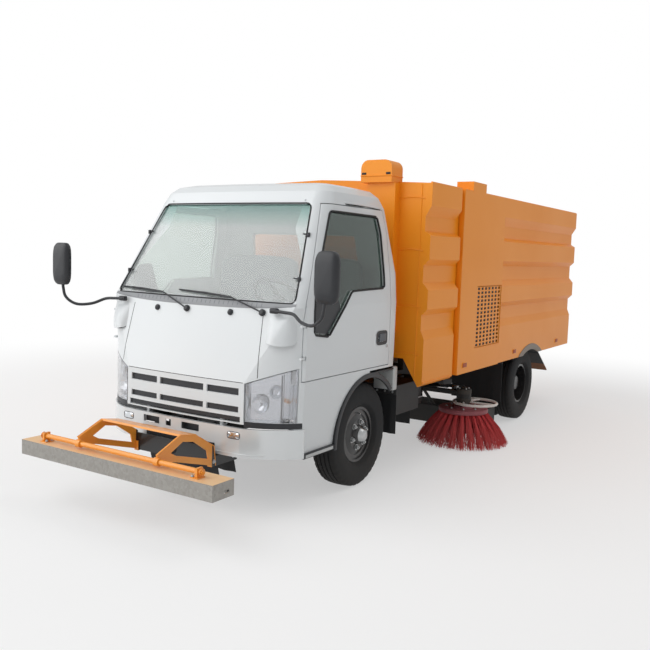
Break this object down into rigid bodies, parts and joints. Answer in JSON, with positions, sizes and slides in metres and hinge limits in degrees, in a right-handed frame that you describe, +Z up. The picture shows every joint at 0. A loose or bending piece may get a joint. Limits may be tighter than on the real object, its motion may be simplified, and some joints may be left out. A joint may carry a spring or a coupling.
{
  "type": "street sweeper truck",
  "caption": "Cab-over street sweeper truck with twin rear wheels, a ribbed tipping dust hopper behind a water tank, side brooms, a suction nozzle and a front wash bar.",
  "frame": {"origin": "on the ground in the middle of the truck's length and width", "axes": "+X to the truck's left, -Y forwards, +Z up"},
  "size_m": [2.65, 6.666, 2.553],
  "materials": {
    "chassis_frame": "black chassis paint",
    "underrun_bar": "black chassis paint",
    "front_bar_mount": "orange gloss paint",
    "front_bar_tube": "orange gloss paint",
    "cab_shell": "white gloss paint",
    "door_left": "white gloss paint",
    "door_right": "white gloss paint",
    "front_bumper": "silver-white gloss paint",
    "water_tank": "orange gloss paint",
    "hopper_shell": "orange gloss paint",
    "hopper_beams": "black chassis paint",
    "side_grilles": "orange gloss paint",
    "tailgate": "orange gloss paint",
    "fuel_tank": "black paint",
    "battery_box": "black paint",
    "rim_front_left": "black wheel enamel",
    "rim_front_right": "black wheel enamel",
    "rim_rear_left": "black wheel enamel",
    "rim_rear_right": "black wheel enamel",
    "rear_axle": "black paint",
    "front_axle": "black paint",
    "leaf_springs": "black paint",
    "propshaft": "black paint",
    "aux_engine": "grey engine paint",
    "broom_arm_left": "dark grey paint",
    "broom_arm_right": "dark grey paint",
    "suction_nozzle": "black paint",
    "suction_duct": "black paint",
    "ram_barrels": "black paint",
    "tie_rod": "black paint",
    "front_bar_beam": "galvanised, spangled",
    "exhaust": "dull aluminised steel",
    "ram_rods": "ground hard chrome",
    "engine_block": "cast",
    "gearbox": "cast",
    "knuckle_left": "forged",
    "knuckle_right": "forged",
    "cab_glass": "clear laminated",
    "door_glass_left": "toughened, light tint",
    "door_glass_right": "toughened, light tint",
    "dashboard": "grained grey",
    "steering_wheel": "grained black",
    "mirrors": "grained black",
    "wheel_liners": "moulded black",
    "broom_left": "red bristles",
    "broom_right": "red bristles",
    "rear_mudguards": "grey",
    "grille_panel": "white gloss",
    "headlamps": "clear lens",
    "tail_lamps": "red lens",
    "seats": "woven grey",
    "tyre_front_left": "treaded",
    "tyre_front_right": "treaded",
    "tyre_rear_left": "treaded",
    "tyre_rear_right": "treaded"
  },
  "bodies": {
    "chassis": {"chassis_frame": "chassis_frame", "underrun_bar": "underrun_bar", "tail_lamps": "tail_lamps", "front_axle": "front_axle", "rear_axle": "rear_axle", "leaf_springs": "leaf_springs", "engine_block": "engine_block", "gearbox": "gearbox", "propshaft": "propshaft", "fuel_tank": "fuel_tank", "battery_box": "battery_box", "exhaust": "exhaust", "front_bumper": "front_bumper", "front_bar_mount": "front_bar_mount", "water_tank": "water_tank", "aux_engine": "aux_engine", "suction_duct": "suction_duct"},
    "front_bar": {"front_bar_beam": "front_bar_beam", "front_bar_tube": "front_bar_tube"},
    "cab": {"cab_shell": "cab_shell", "cab_glass": "cab_glass", "grille_panel": "grille_panel", "headlamps": "headlamps", "dashboard": "dashboard", "seats": "seats", "mirrors": "mirrors", "wheel_liners": "wheel_liners"},
    "steering_wheel": {"steering_wheel": "steering_wheel"},
    "door_left": {"door_left": "door_left", "door_glass_left": "door_glass_left"},
    "door_right": {"door_right": "door_right", "door_glass_right": "door_glass_right"},
    "knuckle_left": {"knuckle_left": "knuckle_left"},
    "knuckle_right": {"knuckle_right": "knuckle_right"},
    "tie_rod": {"tie_rod": "tie_rod"},
    "wheel_front_left": {"rim_front_left": "rim_front_left", "tyre_front_left": "tyre_front_left"},
    "wheel_front_right": {"rim_front_right": "rim_front_right", "tyre_front_right": "tyre_front_right"},
    "wheels_rear_left": {"rim_rear_left": "rim_rear_left", "tyre_rear_left": "tyre_rear_left"},
    "wheels_rear_right": {"rim_rear_right": "rim_rear_right", "tyre_rear_right": "tyre_rear_right"},
    "hopper": {"hopper_shell": "hopper_shell", "hopper_beams": "hopper_beams", "side_grilles": "side_grilles", "rear_mudguards": "rear_mudguards"},
    "tailgate": {"tailgate": "tailgate"},
    "ram_barrels": {"ram_barrels": "ram_barrels"},
    "ram_rods": {"ram_rods": "ram_rods"},
    "broom_arm_left": {"broom_arm_left": "broom_arm_left"},
    "broom_arm_right": {"broom_arm_right": "broom_arm_right"},
    "broom_left": {"broom_left": "broom_left"},
    "broom_right": {"broom_right": "broom_right"},
    "nozzle": {"suction_nozzle": "suction_nozzle"}
  },
  "joints": [
    {"name": "steer_left", "type": "hinge", "parent": "chassis", "child": "knuckle_left", "pos_m": [0.632, -1.56, 0.402], "axis": [0, 0, 1], "range_deg": [-35, 35]},
    {"name": "steer_right", "type": "hinge", "parent": "chassis", "child": "knuckle_right", "pos_m": [-0.632, -1.56, 0.402], "axis": [0, 0, 1], "range_deg": [-35, 35]},
    {"name": "tie_rod_turn", "type": "hinge", "parent": "knuckle_left", "child": "tie_rod", "pos_m": [0.632, -1.41, 0.309], "axis": [0, 0, 1], "range_deg": [-35, 35]},
    {"name": "steering_wheel_turn", "type": "hinge", "parent": "cab", "child": "steering_wheel", "pos_m": [0.39, -2.085, 1.413], "axis": [0, 0.6691, 0.7431], "range_deg": [-560, 560]},
    {"name": "front_left_spin", "type": "hinge", "parent": "knuckle_left", "child": "wheel_front_left", "pos_m": [0.7265, -1.56, 0.402], "axis": [1, 0, 0], "continuous": true},
    {"name": "front_right_spin", "type": "hinge", "parent": "knuckle_right", "child": "wheel_front_right", "pos_m": [-0.7265, -1.56, 0.402], "axis": [1, 0, 0], "continuous": true},
    {"name": "rear_left_spin", "type": "hinge", "parent": "chassis", "child": "wheels_rear_left", "pos_m": [0.8585, 1.8, 0.402], "axis": [1, 0, 0], "continuous": true},
    {"name": "rear_right_spin", "type": "hinge", "parent": "chassis", "child": "wheels_rear_right", "pos_m": [-0.8585, 1.8, 0.402], "axis": [1, 0, 0], "continuous": true},
    {"name": "cab_tilt", "type": "hinge", "parent": "chassis", "child": "cab", "pos_m": [0, -2.622, 0.618], "axis": [1, 0, 0], "range_deg": [0, 45]},
    {"name": "door_left_swing", "type": "hinge", "parent": "cab", "child": "door_left", "pos_m": [0.878, -2.445, 1.2], "axis": [0, 0, -1], "range_deg": [0, 70]},
    {"name": "door_right_swing", "type": "hinge", "parent": "cab", "child": "door_right", "pos_m": [-0.878, -2.445, 1.2], "axis": [0, 0, 1], "range_deg": [0, 70]},
    {"name": "hopper_tip", "type": "hinge", "parent": "chassis", "child": "hopper", "pos_m": [0, 3.14, 0.7], "axis": [-1, 0, 0], "range_deg": [0, 50]},
    {"name": "tailgate_swing", "type": "hinge", "parent": "hopper", "child": "tailgate", "pos_m": [0, 3.304, 2.31], "axis": [1, 0, 0], "range_deg": [0, 80]},
    {"name": "ram_turn", "type": "hinge", "parent": "chassis", "child": "ram_barrels", "pos_m": [0, 0.79, 0.6], "axis": [1, 0, 0], "range_deg": [0, 20]},
    {"name": "ram_extend", "type": "slide", "parent": "ram_barrels", "child": "ram_rods", "axis": [0, 0.986, 0.1665], "range_m": [0, 0.68]},
    {"name": "front_bar_fold", "type": "hinge", "parent": "chassis", "child": "front_bar", "pos_m": [0, -3.26, 0.467], "axis": [-1, 0, 0], "range_deg": [0, 60]},
    {"name": "broom_left_lift", "type": "hinge", "parent": "chassis", "child": "broom_arm_left", "pos_m": [0.34, 0.35, 0.5], "axis": [0, -1, 0], "range_deg": [0, 16]},
    {"name": "broom_right_lift", "type": "hinge", "parent": "chassis", "child": "broom_arm_right", "pos_m": [-0.34, 0.35, 0.5], "axis": [0, 1, 0], "range_deg": [0, 16]},
    {"name": "broom_left_spin", "type": "hinge", "parent": "broom_arm_left", "child": "broom_left", "pos_m": [0.875, 0.35, 0.36], "axis": [0, 0, 1], "continuous": true},
    {"name": "broom_right_spin", "type": "hinge", "parent": "broom_arm_right", "child": "broom_right", "pos_m": [-0.875, 0.35, 0.36], "axis": [0, 0, 1], "continuous": true},
    {"name": "nozzle_lift", "type": "hinge", "parent": "chassis", "child": "nozzle", "pos_m": [0, 0.59, 0.45], "axis": [1, 0, 0], "range_deg": [0, 10]}
  ],
  "couplings": [
    {"joint": "steer_right", "follows": "steer_left", "ratio": 1},
    {"joint": "tie_rod_turn", "follows": "steer_left", "ratio": -1},
    {"joint": "steering_wheel_turn", "follows": "steer_left", "ratio": 16},
    {"joint": "ram_turn", "follows": "hopper_tip", "ratio": 0.36254},
    {"joint": "ram_extend", "follows": "hopper_tip", "m_per_rad": 0.76785}
  ]
}
